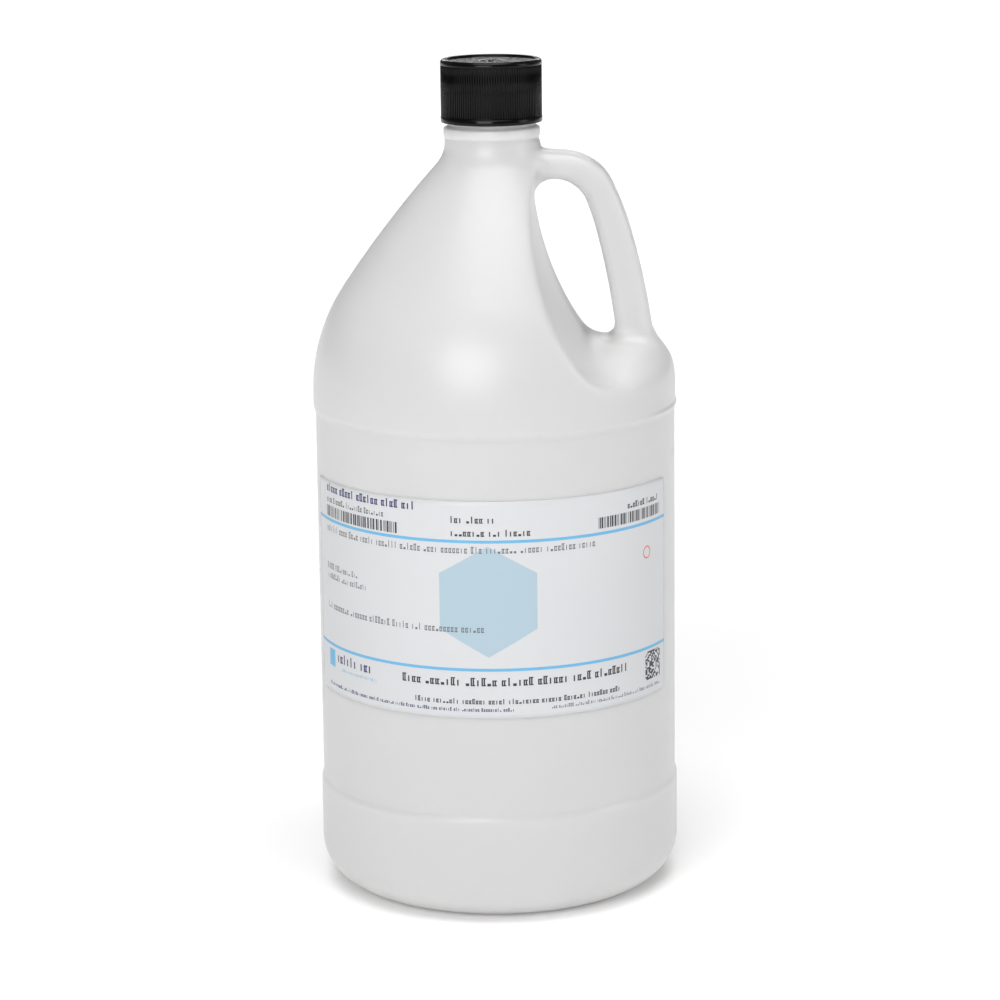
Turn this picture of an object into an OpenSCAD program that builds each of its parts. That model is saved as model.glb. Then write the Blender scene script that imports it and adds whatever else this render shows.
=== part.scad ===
// Four litre reagent bottle with a grip handle: a blow-moulded bottle, its
// wrap label, a ribbed screw cap and the cap's two-layer liner.
// Upright on its base: +Z up, origin at the centre of the base plane,
// handle towards +X, label facing -Y. Sizes in millimetres.

/* [Bottle body] */
// Diameter over the two bumper bands
body_d = 148.3; // [118:0.1:178]
// Depth of the label panel below the bumper bands
panel_recess = 0.85; // [0.4:0.05:2]
// Wall thickness of the blown body
wall = 1.1; // [0.8:0.1:2.5]
// Radius of the rounded edge round the base
base_corner_r = 18; // [8:0.5:22]
// Top of the lower bumper band
lower_band_top = 43; // [30:1:60]
// Height where the shoulder starts to turn in
shoulder_z = 206; // [171:1:248]
// Height of the upper bumper band, just under the shoulder
upper_band_h = 6; // [4:0.5:12]
// Radius of the shoulder's lower curve
shoulder_r = 75; // [60:1:90]
// Slope, from upright, where the lower curve ends
shoulder_turn = 34; // [28:1:40]
// Radius of the long upper curve of the shoulder
upper_shoulder_r = 450; // [300:10:700]

/* [Base] */
// Inner radius of the flat ring that the bottle stands on
ring_in_r = 47; // [30:0.5:52]
// Rise of the middle of the base above the ring
push_up = 5; // [2:0.5:10]

/* [Neck] */
// Diameter of the plain neck under the bead
neck_d = 38.2; // [34:0.1:42]
// Radius between shoulder and neck
neck_fillet_r = 14; // [10:0.5:20]
// Plain neck between the fillet and the bead
neck_plain = 1.8; // [1:0.1:6]
// Height of the handling bead
bead_h = 3.4; // [2:0.1:5]
// How far the bead stands out from the neck
bead_proud = 0.5; // [0.2:0.05:1]
// Height of the finish, from bead to sealing land
finish_h = 23.3; // [20:0.1:30]
// Outside diameter over the neck thread
thread_d = 37.5; // [31.2:0.1:45]
// Depth of the neck thread
thread_depth = 1.1; // [0.9:0.05:1.3]
// Wall between the root of the thread and the bore of the mouth
finish_wall = 2.45; // [1.6:0.05:3.5]
// Thread pitch, six turns to the inch
pitch = 4.2333; // [4:0.0001:4.5]
// Turns of thread on the neck
neck_turns = 2.25; // [1.5:0.25:2.5]

/* [Handle] */
// Depth of the tube across the grip, in the handle's own plane
grip_t = 13.5; // [12:0.5:17]
// Width of the tube
grip_w = 22; // [16:0.5:28]
// Corner radius of the tube
grip_corner = 5.4; // [3:0.1:5.8]
// From the bumper bands in to the grip's middle line, at the ledge
grip_foot_inset = 15.9; // [13:0.1:19]
// Radius of the bend between top bar and grip, on the middle line
grip_bend_r = 13; // [11:0.5:16]
// Length of the top bar, from the neck to the bend
bar_len = 12.6; // [10:0.1:17]
// How far the top bar's middle lies below the neck fillet's top
bar_drop = 9.4; // [8:0.1:12]

/* [Finger recess] */
// How far the recess wall reaches in behind the neck's outside
recess_inset = 1.8; // [-0.5:0.1:4]
// Radius at the recess's top corner
recess_top_r = 9.8; // [7:0.1:11]
// Radius of the long curve of the recess wall
recess_wall_r = 124; // [100:1:160]
// Slope of the wall where it leaves the top corner, from upright
recess_top_slope = 8; // [4:0.5:12]
// Slope of the wall at the foot, from upright
recess_foot_slope = 34; // [28:0.5:40]
// Crown of the wall, as its radius seen from above
recess_crown_r = 250; // [180:10:400]
// Rise from the start of the shoulder to the ledge under the handle
ledge_rise = 20; // [15:0.5:24]
// Radius of the ledge's outer edge
ledge_edge_r = 16; // [12:0.5:20]
// Crown of the ledge, as its radius seen along the handle's plane
ledge_crown_r = 100; // [80:5:200]

/* [Label] */
// Height of the label
label_h = 88; // [60:1:120]
// Gap between the top of the label panel and the label
label_drop = 23.8; // [5:0.1:40]
// Angle that the label wraps round
label_wrap = 144; // [90:1:170]
// Turn of the label's middle away from the side square to the handle
label_turn = -4; // [-10:1:10]
// Thickness of the label
label_t = 0.15; // [0.1:0.05:0.4]

/* [Cap] */
// Wall of the cap's skirt, from the bore to the plain bands
cap_wall = 1.45; // [1.2:0.05:3]
// Height of the cap
cap_h = 25.2; // [22:0.1:30]
// Thickness of the cap's top
cap_top_t = 2.8; // [1.8:0.1:4]
// Radius of the polished top rim
cap_rim_r = 1.6; // [0.8:0.1:2.2]
// Number of ribs
rib_count = 120; // [60:1:140]
// Depth of the ribs
rib_depth = 0.35; // [0.2:0.05:0.5]
// How far the ribs stay inside the plain bands
rib_inset = 0.15; // [0.1:0.05:0.3]
// Plain band round the bottom of the skirt
cap_band_h = 2.3; // [1:0.1:4]
// Plain band between ribs and top rim
cap_top_band_h = 2.4; // [2:0.1:4]
// Width of the rim round the sunk disc in the top
cap_rim_w = 2.65; // [2:0.05:4]
// Depth of the sunk disc
cap_disc_sink = 0.9; // [0.3:0.1:1.2]
// Turns of thread in the cap
cap_turns = 2; // [1.5:0.25:2.5]
// Radial clearance between cap and neck threads
thread_gap = 0.3; // [0.2:0.05:0.4]

/* [Liner] */
// Thickness of the foam backing
backing_t = 1.2; // [0.8:0.1:2]
// Thickness of the facing film
facing_t = 0.3; // [0.2:0.05:0.6]
// Clearance between liner and cap
liner_gap = 0.1; // [0.05:0.05:0.3]

/* [Hidden] */

$fn = 96;
arc_step = 3;                       // degrees between points on a drawn curve
body_r = body_d / 2;
neck_r = neck_d / 2;
panel_r = body_r - panel_recess;
band_step = 2.2;                    // height of the slope from band to panel
upper_band_bottom = shoulder_z - upper_band_h;
panel_top = upper_band_bottom - band_step;
ring_slope = 4;                     // width of the slope inside the standing ring
push_up_sag = 0.6;                  // how much lower the raised middle ends at that slope
rim_round = 0.6;                    // rounding of the sealing land's edges

// The shoulder is three tangent arcs. Its steepest slope is where the lower
// curve, the long curve and the neck fillet together reach the neck's radius.
shoulder_steep = acos((neck_r - body_r + shoulder_r * (1 - cos(shoulder_turn))
    + upper_shoulder_r * cos(shoulder_turn) + neck_fillet_r)
    / (upper_shoulder_r + neck_fillet_r));
upper_start = [body_r - shoulder_r * (1 - cos(shoulder_turn)),
    shoulder_z + shoulder_r * sin(shoulder_turn)];
upper_centre = upper_start - upper_shoulder_r * [cos(shoulder_turn), sin(shoulder_turn)];
upper_end = upper_centre + upper_shoulder_r * [cos(shoulder_steep), sin(shoulder_steep)];
neck_z = upper_end.y + neck_fillet_r * sin(shoulder_steep);

bead_z = neck_z + neck_plain;
finish_z = bead_z + bead_h;
land_z = finish_z + finish_h;
thread_r = thread_d / 2;
thread_root_r = thread_r - thread_depth;
mouth_r = thread_root_r - finish_wall;

liner_z = land_z;
cap_roof_z = liner_z + facing_t + backing_t + liner_gap;
cap_top_z = cap_roof_z + cap_top_t;
cap_z = cap_top_z - cap_h;
cap_bore_r = thread_r + thread_gap;
cap_crest_r = thread_root_r + thread_gap;
cap_r = cap_bore_r + cap_wall;
cap_top_r = cap_r - 0.05;           // the top rim, a hair inside the bottom band
gate_ring_sink = 0.3;               // depth of the ring sunk in the disc
shell_lap = 0.1;                    // how far the ribs' valleys stand out of the shell
gate_ring_r = 4.7;                  // ring sunk round the moulding gate
gate_r = 1.1;                       // the gate's stub
gate_h = 0.2;                       // how far the stub stands over the disc
liner_gap_r = 0.35;                 // from the liner's edge out to the cap's bore
liner_r = cap_bore_r - liner_gap_r;

thread_base_w = 2.5;                // width of the neck thread at its root
thread_crest_w = 1.2;
cap_thread_base_w = 1.6;
cap_thread_crest_w = 0.8;
thread_sink = 0.5;                  // depth of a thread's root inside its wall
thread_lead = 3.4;                  // from the sealing land down to the thread's end
neck_thread_top = land_z - thread_lead;
neck_thread_z = neck_thread_top - neck_turns * pitch;
cap_thread_z = neck_thread_z - pitch / 2;

ledge_z = shoulder_z + ledge_rise;
bar_z = neck_z - bar_drop;
bar_lap = 0.8;                      // how far the recess reaches up behind the bar's underside
recess_top_z = bar_z - grip_t / 2 + bar_lap;
recess_x = neck_r - recess_inset;
recess_corner = [recess_x + recess_top_r, recess_top_z - recess_top_r];

// The grip runs from the bend to its foot on the ledge, tangent to the bend
bend_centre = [neck_r + bar_len, bar_z - grip_bend_r];
grip_foot = [body_r - grip_foot_inset, ledge_z];
grip_way = grip_foot - bend_centre;
grip_lean = atan2(grip_way.y, grip_way.x) + acos(grip_bend_r / norm(grip_way));
bend_slim = 0.08;                   // step between the bend and the straight runs
bend_lap = 2;                       // degrees that the bend reaches into them
crown_drop = 0.3;                   // from the ledge's full height down to its crown
foot_sink = 6;                      // how far the grip goes down into the ledge
bar_sink = 4;                       // how far the bar goes in past the neck's outside
cut_past = 10;                      // how far a cutter goes on outside the body
cut_end = 1;                        // how far a bore's cutter goes on past its end
lap = 0.5;                          // overlap of solids that are joined

function unit(v) = v / norm(v);

// Points of an arc, both ends included
function arc(centre, r, from, to) = let (n = max(2, ceil(abs(to - from) / arc_step)))
    [for (i = [0:n]) let (a = from + (to - from) * i / n) centre + r * [cos(a), sin(a)]];

// A line of points moved t to the left of its own direction
function inset(pts, t) = let (last = len(pts) - 1) [for (i = [0:last]) let (
    into = unit(pts[max(i, 1)] - pts[max(i, 1) - 1]),
    out = unit(pts[min(i, last - 1) + 1] - pts[min(i, last - 1)]),
    mean = unit(into + out)) pts[i] + t / (mean * into) * [-mean.y, mean.x]];

// The blown outline, from the middle of the base up to the neck, as [radius, height]
function body_outline() = concat(
    [[0, push_up], [ring_in_r - ring_slope, push_up - push_up_sag], [ring_in_r, 0]],
    arc([body_r - base_corner_r, base_corner_r], base_corner_r, -90, 0),
    [[body_r, lower_band_top], [panel_r, lower_band_top + band_step]],
    [[panel_r, upper_band_bottom - band_step], [body_r, upper_band_bottom]],
    arc([body_r - shoulder_r, shoulder_z], shoulder_r, 0, shoulder_turn),
    [for (p = arc(upper_centre, upper_shoulder_r, shoulder_turn, shoulder_steep))
        if (p.y > upper_start.y + 0.01) p],
    [for (p = arc([neck_r + neck_fillet_r, neck_z], neck_fillet_r, 180 + shoulder_steep, 180))
        if (p.y > upper_end.y + 0.01) p]);

// Everything above the fillet: plain neck, bead, finish and sealing land
function neck_outline() = [
    [neck_r, bead_z],
    [neck_r + bead_proud, bead_z + bead_proud],
    [neck_r + bead_proud, finish_z - bead_proud],
    [neck_r, finish_z],
    [thread_root_r, finish_z],
    [thread_root_r, land_z - rim_round],
    [thread_root_r - rim_round, land_z],
    [0, land_z]];

module body_solid() {
    rotate_extrude() polygon(concat(body_outline(), neck_outline()));
}

// The hollow: the blown outline set in by the wall, then the mouth's bore
module body_hollow() {
    hollow = inset(body_outline(), wall);
    top = hollow[len(hollow) - 1];
    throat = max(rim_round, top.x - mouth_r);
    rotate_extrude() polygon(concat([[0, hollow[0].y]], hollow,
        [[mouth_r, top.y + throat], [mouth_r, land_z + cut_end], [0, land_z + cut_end]]));
}

// The ledge that the handle stands on, falling away at both sides; it stops the recess
module ledge(t) {
    edge = [body_r - ledge_edge_r, ledge_z - ledge_edge_r];
    root_z = panel_top;
    intersection() {
        rotate_extrude() polygon(concat([[0, root_z], [body_r - t, root_z]],
            arc(edge, ledge_edge_r - t, 0, 90), [[0, ledge_z - t]]));
        translate([0, 0, ledge_z - crown_drop - ledge_crown_r]) rotate([0, 90, 0])
            cylinder(h = body_d + 2 * cut_past, r = ledge_crown_r - t, center = true);
    }
}

// The finger recess as a cutter, grown by t for the inside of the wall
module recess(t) {
    reach = body_r + cut_past;
    floor_z = ledge_z - ledge_edge_r + cut_end;
    foot_centre = recess_corner
        + (recess_wall_r - recess_top_r) * [cos(recess_top_slope), sin(recess_top_slope)];
    foot = foot_centre - (recess_wall_r + t) * [cos(recess_foot_slope), sin(recess_foot_slope)];
    foot_run = (foot.y - floor_z) * tan(recess_foot_slope);
    section = concat(
        [[reach, recess_corner.y + recess_top_r + t]],
        arc(recess_corner, recess_top_r + t, 90, 180 + recess_top_slope),
        [for (p = arc(foot_centre, recess_wall_r + t, 180 + recess_top_slope, 180 + recess_foot_slope))
            if (p.y < recess_corner.y - recess_top_r / 2) p],
        [[foot.x + foot_run, floor_z], [reach, floor_z]]);
    turn = asin(reach / recess_crown_r) + arc_step;
    difference() {
        translate([-recess_crown_r, 0, 0]) rotate([0, 0, -turn]) rotate_extrude(angle = 2 * turn)
            polygon([for (p = section) p + [recess_crown_r, 0]]);
        ledge(t);
    }
}

// Cross-section of the grip tube: x across the grip, y along its width
module grip_section(t) {
    depth = grip_t - 2 * t;
    width = grip_w - 2 * t;
    corner = grip_corner - t;
    square([depth, width - 2 * corner], center = true);
    square([depth - 2 * corner, width], center = true);
    for (sx = [-1, 1], sy = [-1, 1])
        translate([sx * (depth / 2 - corner), sy * (width / 2 - corner)]) circle(corner);
}

// The handle's tube: a level top bar, a bend and the leaning grip. The bend is
// a hair slimmer than the straight runs and reaches a little into both.
module handle_tube(t) {
    turn = 90 - grip_lean;
    grip_top = bend_centre + grip_bend_r * [cos(grip_lean), sin(grip_lean)];
    grip_len = (grip_top.y - ledge_z + foot_sink) / cos(grip_lean);
    translate([neck_r - bar_sink, 0, bar_z]) rotate([0, 90, 0])
        linear_extrude(bar_len + bar_sink) grip_section(t);
    translate([bend_centre.x, 0, bend_centre.y]) rotate([90, 0, 0]) rotate([0, 0, grip_lean - bend_lap])
        rotate_extrude(angle = turn + 2 * bend_lap) translate([grip_bend_r, 0]) grip_section(t + bend_slim);
    translate([grip_top.x, 0, grip_top.y]) rotate([0, 180 - grip_lean, 0])
        linear_extrude(grip_len) grip_section(t);
}

// A screw thread as one swept ridge. Its section runs from inside the wall to
// the crest, and sinks towards the wall over the last lead degrees at both ends.
module thread_ridge(wall_r, crest_r, base_w, crest_w, z, turns) {
    steps = 32;
    lead = 40;
    tip_start = 0.3;                // share of the ridge's depth that stands at its very end
    count = round(turns * steps);
    out = sign(crest_r - wall_r);
    root = wall_r - out * thread_sink;
    flank = (base_w - crest_w) / 2 / abs(crest_r - wall_r);
    root_w = base_w + 2 * flank * thread_sink;
    sweep = [for (i = [0:count]) let (
        a = i * 360 / steps,
        fade = min(1, tip_start + a / lead, tip_start + (turns * 360 - a) / lead),
        tip = wall_r + (crest_r - wall_r) * fade,
        tip_w = crest_w + 2 * flank * abs(crest_r - tip),
        mid = z + pitch * a / 360)
        [[root, mid - root_w / 2], [tip, mid - tip_w / 2], [tip, mid + tip_w / 2], [root, mid + root_w / 2]]];
    points = [for (i = [0:count], p = sweep[i]) let (a = i * 360 / steps) [p.x * cos(a), p.x * sin(a), p.y]];
    k = 4;
    sides = [for (i = [0:count - 1], j = [0:k - 1]) let (n = (j + 1) % k)
        each [[i * k + j, (i + 1) * k + n, i * k + n], [i * k + j, (i + 1) * k + j, (i + 1) * k + n]]];
    ends = [[for (j = [0:k - 1]) j], [for (j = [k - 1:-1:0]) count * k + j]];
    flip = crest_r > wall_r;
    polyhedron(points, [for (f = concat(sides, ends)) flip ? [for (j = [len(f) - 1:-1:0]) f[j]] : f]);
}

module bottle() color([0.90, 0.91, 0.93]) {
    difference() {
        union() {
            difference() {
                body_solid();
                recess(0);
            }
            handle_tube(0);
        }
        difference() {
            body_hollow();
            recess(wall);
        }
        handle_tube(wall);
    }
    thread_ridge(thread_root_r, thread_r, thread_base_w, thread_crest_w, neck_thread_z, neck_turns);
}

module label() color([0.95, 0.96, 0.98])
    rotate([0, 0, -90 + label_turn - label_wrap / 2]) rotate_extrude(angle = label_wrap)
        translate([panel_r, panel_top - label_drop - label_h]) square([label_t, label_h]);

// Ribs as one toothed outline: each tooth is a valley, a slope, a crest and a slope
module rib_outline() {
    tooth = 360 / rib_count;
    crest_r = cap_r - rib_inset;
    valley_r = crest_r - rib_depth;
    shape = [[0, valley_r], [0.2, valley_r], [0.45, crest_r], [0.75, crest_r]];
    polygon([for (i = [0:rib_count - 1], k = shape) let (a = (i + k[0]) * tooth) k[1] * [cos(a), sin(a)]]);
}

module cap() color([0.07, 0.07, 0.08]) {
    rib_bottom = cap_z + cap_band_h;
    rib_top = cap_top_z - cap_top_band_h;
    disc_r = cap_r - cap_rim_w;
    disc_z = cap_top_z - cap_disc_sink;
    ring_z = disc_z - gate_ring_sink;
    gate_z = disc_z + gate_h;
    shell_r = cap_r - rib_inset - rib_depth - shell_lap;
    difference() {
        union() {
            translate([0, 0, rib_bottom - lap]) linear_extrude(rib_top - rib_bottom + 2 * lap) rib_outline();
            rotate_extrude() polygon(concat([[0, cap_z], [cap_r, cap_z], [cap_r, rib_bottom],
                [shell_r, rib_bottom], [shell_r, rib_top], [cap_top_r, rib_top]],
                arc([cap_top_r - cap_rim_r, cap_top_z - cap_rim_r], cap_rim_r, 0, 90),
                [[disc_r, cap_top_z], [disc_r - gate_ring_sink, disc_z],
                [gate_ring_r, disc_z], [gate_ring_r - gate_ring_sink, ring_z],
                [gate_r + shell_lap, ring_z], [gate_r, gate_z], [0, gate_z]]));
        }
        translate([0, 0, cap_z - cut_end]) cylinder(h = cap_roof_z - cap_z + cut_end, r = cap_bore_r);
    }
    thread_ridge(cap_bore_r, cap_crest_r, cap_thread_base_w, cap_thread_crest_w, cap_thread_z, cap_turns);
}

module liner_facing() color([0.86, 0.86, 0.84])
    translate([0, 0, liner_z]) cylinder(h = facing_t, r = liner_r);

module liner_backing() color([0.93, 0.93, 0.90])
    translate([0, 0, liner_z + facing_t]) cylinder(h = backing_t, r = liner_r);

bottle();
label();
cap();
liner_backing();
liner_facing();
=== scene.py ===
import math
import random

import bpy
import numpy as np
from mathutils import Matrix, Vector


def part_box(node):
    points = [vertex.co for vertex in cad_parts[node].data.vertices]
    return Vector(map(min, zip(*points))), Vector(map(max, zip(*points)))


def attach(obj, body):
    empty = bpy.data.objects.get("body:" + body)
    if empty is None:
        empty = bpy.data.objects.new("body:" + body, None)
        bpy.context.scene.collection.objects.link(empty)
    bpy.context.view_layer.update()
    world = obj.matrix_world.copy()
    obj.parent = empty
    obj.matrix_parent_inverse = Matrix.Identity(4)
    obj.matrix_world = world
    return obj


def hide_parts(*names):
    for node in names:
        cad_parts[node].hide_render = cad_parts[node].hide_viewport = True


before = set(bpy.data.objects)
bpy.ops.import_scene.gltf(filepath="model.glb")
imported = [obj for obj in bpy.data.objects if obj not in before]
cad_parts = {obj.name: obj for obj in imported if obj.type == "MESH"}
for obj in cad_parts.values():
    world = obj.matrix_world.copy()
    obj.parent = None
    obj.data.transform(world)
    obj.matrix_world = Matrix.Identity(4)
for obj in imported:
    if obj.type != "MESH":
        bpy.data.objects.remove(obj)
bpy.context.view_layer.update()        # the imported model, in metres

mm = 0.001
bottleLow, bottleHigh = (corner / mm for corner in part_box("bottle"))
capLow, capHigh = (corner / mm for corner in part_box("cap"))
labelLow, labelHigh = (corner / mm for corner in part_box("label"))
backingLow, backingHigh = (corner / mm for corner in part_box("liner_backing"))
facingLow, facingHigh = (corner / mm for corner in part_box("liner_facing"))


# meshes are worked out in millimetres, and turned into metres here
def makePiece(name, points, faces, materials, smooth=True):
    mesh = bpy.data.meshes.new(name)
    mesh.from_pydata([tuple(p) for p in np.asarray(points, float) * mm], [], faces)
    mesh.validate()
    if smooth:
        mesh.shade_smooth()
    for material in materials:
        mesh.materials.append(material)
    piece = bpy.data.objects.new(name, mesh)
    bpy.context.scene.collection.objects.link(piece)
    return piece


def arcPoints(centre, radius, start, end, count):
    angles = np.radians(np.linspace(start, end, count))
    return [(centre[0] + radius * math.cos(a), centre[1] + radius * math.sin(a)) for a in angles]


def lathe(profile, columns, shape=None):
    # profile climbs on the outside; a point on the axis closes to one vertex
    angles = np.linspace(0, 2 * math.pi, columns, endpoint=False)
    points, rings = [], []
    for r, z in profile:
        if r < 1e-6:
            rings.append([len(points)])
            points.append((0, 0, z))
            continue
        radius = np.full(columns, r) if shape is None else shape(angles, r, z)
        rings.append(list(range(len(points), len(points) + columns)))
        points += [(q * math.cos(a), q * math.sin(a), z) for q, a in zip(radius, angles)]
    faces = []
    for low, high in zip(rings, rings[1:]):
        for i in range(columns):
            n = (i + 1) % columns
            if len(low) == 1 and len(high) > 1:
                faces.append((low[0], high[n], high[i]))
            elif len(high) == 1 and len(low) > 1:
                faces.append((low[i], low[n], high[0]))
            elif len(low) > 1:
                faces.append((low[i], low[n], high[n], high[i]))
    return points, faces


def blendMin(a, b, size):
    h = np.maximum(size - np.abs(a - b), 0) / size
    return np.minimum(a, b) - h * h * size / 4


def blendMax(a, b, size):
    return -blendMin(-a, -b, size)


class Sock:
    # wraps a socket so that shader maths reads as an expression
    def __init__(self, tree, out):
        self.tree, self.out = tree, out

    def math(self, operation, other=None):
        node = self.tree.nodes.new("ShaderNodeMath")
        node.operation = operation
        plug(self.tree, self, node.inputs[0])
        if other is not None:
            plug(self.tree, other, node.inputs[1])
        return Sock(self.tree, node.outputs[0])

    def __add__(self, other):
        return self.math("ADD", other)

    def __radd__(self, other):
        return self.math("ADD", other)

    def __sub__(self, other):
        return self.math("SUBTRACT", other)

    def __rsub__(self, other):
        return (self * -1.0).math("ADD", other)

    def __mul__(self, other):
        return self.math("MULTIPLY", other)

    def __rmul__(self, other):
        return self.math("MULTIPLY", other)


def plug(tree, value, socket):
    if isinstance(value, Sock):
        tree.links.new(value.out, socket)
    elif value is not None:
        socket.default_value = value


class Finish:
    # one material: node() adds any node, settings first and then its sockets
    def __init__(self, name, **constants):
        self.material = bpy.data.materials.new(name)
        self.material.use_nodes = True
        self.tree = self.material.node_tree
        self.shader = self.tree.nodes["Principled BSDF"]
        self.set(**constants)

    def set(self, **values):
        for name, value in values.items():
            plug(self.tree, value, self.shader.inputs[name.replace("_", " ")])

    def node(self, kind, out=0, settings=None, **sockets):
        node = self.tree.nodes.new("ShaderNode" + kind)
        for key, value in (settings or {}).items():
            setattr(node, key, value)
        for key, value in sockets.items():      # i6 is the socket of that number
            numbered = key[0] == "i" and key[1:].isdigit()
            plug(self.tree, value, node.inputs[int(key[1:]) if numbered else key.replace("_", " ")])
        return Sock(self.tree, node.outputs[out])

    def place(self):
        return self.node("TexCoord", out="Object")

    def noise(self, scale, detail):
        return self.node("TexNoise", Vector=self.place(), Scale=scale, Detail=detail)

    def mix(self, factor, first, second):
        return self.node("Mix", out=2, settings={"data_type": "RGBA"},
                         i0=factor, i6=first, i7=second)

    def ramp(self, value, low, high):
        # low and high are pairs of what comes in and what goes out
        return self.node("MapRange", Value=value, From_Min=low[0], From_Max=high[0],
                         To_Min=low[1], To_Max=high[1])

    def bump(self, height, strength, distance):
        self.set(Normal=self.node("Bump", Strength=strength, Distance=distance, Height=height))


def bottlePlastic():
    look = dict(core=(0.79, 0.776, 0.770, 1), tint=(0.83, 0.815, 0.808, 1),
                neck=(0.56, 0.555, 0.555, 1), neckFrom=0.305, neckFull=0.315, seamHalf=0.0004)
    finish = Finish("bottlePlastic", IOR=1.52, Specular_IOR_Level=0.5, Subsurface_Weight=0.7,
                    Subsurface_Radius=(1.0, 0.97, 0.95), Subsurface_Scale=0.008)
    cloud = finish.noise(11.0, 2.0)         # uneven wall, a few centimetres across
    height = finish.node("SeparateXYZ", out="Z", Vector=finish.place())
    # painted shade: from neckFrom up to neckFull the colour turns to the grey neck tint
    thick = finish.ramp(height, (look["neckFrom"], 0.0), (look["neckFull"], 1.0))
    body = finish.mix(cloud, look["core"], look["tint"])
    finish.set(Base_Color=finish.mix(thick, body, look["neck"]))    # painted shade: the neck under the cap is painted greyer
    grain = finish.noise(900.0, 3.0)        # satin skin from the blasted mould
    finish.set(Roughness=finish.ramp(grain, (0.3, 0.28), (0.7, 0.38)))
    wave = finish.noise(70.0, 1.0)
    across = finish.node("SeparateXYZ", out="Y", Vector=finish.place())
    seam = finish.ramp(across.math("ABSOLUTE"), (0.0, 1.0), (look["seamHalf"], 0.0))
    finish.bump(grain * 0.04 + wave * 0.25 + seam * 0.5, 0.5, 0.0004)
    return finish.material


def labelStock():
    finish = Finish("labelStock", Roughness=0.34, IOR=1.48, Specular_IOR_Level=0.5)
    fibre = finish.noise(600.0, 3.0)
    finish.set(Base_Color=finish.mix(finish.noise(14.0, 1.0), (0.60, 0.607, 0.625, 1),
                                     (0.635, 0.64, 0.652, 1)))
    finish.set(Roughness=finish.ramp(fibre, (0.3, 0.30), (0.7, 0.40)))
    finish.bump(fibre * 0.05 + finish.noise(45.0, 1.0) * 0.4, 0.35, 0.0003)
    return finish.material


def ink(name, dark, light):
    finish = Finish(name, Roughness=0.42, Specular_IOR_Level=0.4)
    grain = finish.noise(2500.0, 2.0)
    finish.set(Base_Color=finish.mix(grain, dark, light))
    finish.set(Roughness=finish.ramp(grain, (0.3, 0.36), (0.7, 0.5)))
    return finish.material


def capPlastic():
    finish = Finish("capPlastic", IOR=1.49, Specular_IOR_Level=0.2)
    flow = finish.noise(160.0, 3.0)
    finish.set(Base_Color=finish.mix(flow, (0.001, 0.001, 0.0015, 1),
                                     (0.003, 0.003, 0.004, 1)))
    finish.set(Roughness=finish.ramp(finish.noise(420.0, 2.0), (0.3, 0.14), (0.7, 0.24)))
    finish.bump(flow * 0.3 + finish.noise(1500.0, 2.0) * 0.08, 0.35, 0.0002)
    return finish.material


def foam():
    finish = Finish("foam", Roughness=0.85, Subsurface_Weight=0.3,
                    Subsurface_Radius=(1.0, 1.0, 1.0), Subsurface_Scale=0.002)
    cells = finish.node("TexVoronoi", Vector=finish.place(), Scale=1800.0)
    finish.set(Base_Color=finish.mix(cells, (0.78, 0.78, 0.74, 1), (0.88, 0.88, 0.85, 1)))
    finish.bump(cells, 0.6, 0.0003)
    return finish.material


def film():
    finish = Finish("film", IOR=1.4, Specular_IOR_Level=0.6)
    haze = finish.noise(120.0, 2.0)
    finish.set(Base_Color=finish.mix(haze, (0.74, 0.75, 0.77, 1), (0.82, 0.83, 0.84, 1)))
    finish.set(Roughness=finish.ramp(haze, (0.3, 0.18), (0.7, 0.3)))
    finish.bump(haze, 0.3, 0.0003)
    return finish.material


bottleSize = dict(
    wall=1.1,
    panelRecess=0.85, bandStep=2.2, lowerBandTop=43.0, upperBandBottom=200.0,
    baseCorner=18.0, pushUp=5.0, pushUpSag=0.6, ringInner=47.0, ringSlope=4.0,
    shoulderStart=206.0, shoulderRadius=75.0, shoulderTurn=34.0, upperRadius=450.0,
    neckRadius=19.1, neckFillet=14.0, throatDrop=5.0, throatRun=4.0,
    beadStart=1.8, beadHeight=3.8, beadProud=0.42, beadFullness=0.8,
    mouthRadius=15.2, landEdge=0.7, mouthEdge=0.6,
    threadRadius=18.75, threadDepth=1.1, threadPitch=4.2333, threadTurns=2.25,
    threadTop=3.4, threadBase=2.5, threadCrest=1.2, threadFade=0.08,
    columns=192, shoulderRows=92, threadRows=60,    # how fine the mesh is
)

recessSize = dict(
    narrow=17.3, topHeight=280.5, wallRadius=124.0, topSlope=8.0,
    crown=250.0, flare=120.0,       # crown seen from above, and how fast the top runs out
    ledge=226.5, ledgeEdge=16.0,
    ledgeFall=100.0, ledgeThin=5.0,     # the ledge falls away beside the handle
    wallToLedge=6.0, lip=1.8,       # softness of the foot and of the lip
)

handleSize = dict(
    barHeight=297.6, barStart=14.0, droop=3.0, foot=212.0, barThick=10.7,
    # each run is a length, a turn in degrees and the thickness at its end
    runs=[(13.0, 0, 10.7), (14.3, 42, 12.5), (6.0, 21, 12.4), (18.0, 9, 13.6), (35.0, 6.5, 14.8)],
    width=22.0, corner=4.6,
    rootSoft=9.0, topSoft=4.0, footSoft=6.5,            # softness where it meets the body
    topFrom=290.0, topOver=12.0, footFrom=262.0, footOver=20.0,
    holeMargin=1.6, holeSplit=260.0, ringClear=2.2,     # where the body's mesh gives way to it
    nearHalf=32.0, nearBelow=12.0, farAway=100.0,
    ringPoints=72, ringStep=1.7, ringLook=0.6, runStep=1.2,
    relaxReach=11.0, relaxOver=6.0, relaxRounds=30, relaxShare=0.5,
)

bodyRadius = max(bottleHigh.x - bottleLow.x, bottleHigh.y - bottleLow.y) / 2
landHeight = bottleHigh.z


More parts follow.
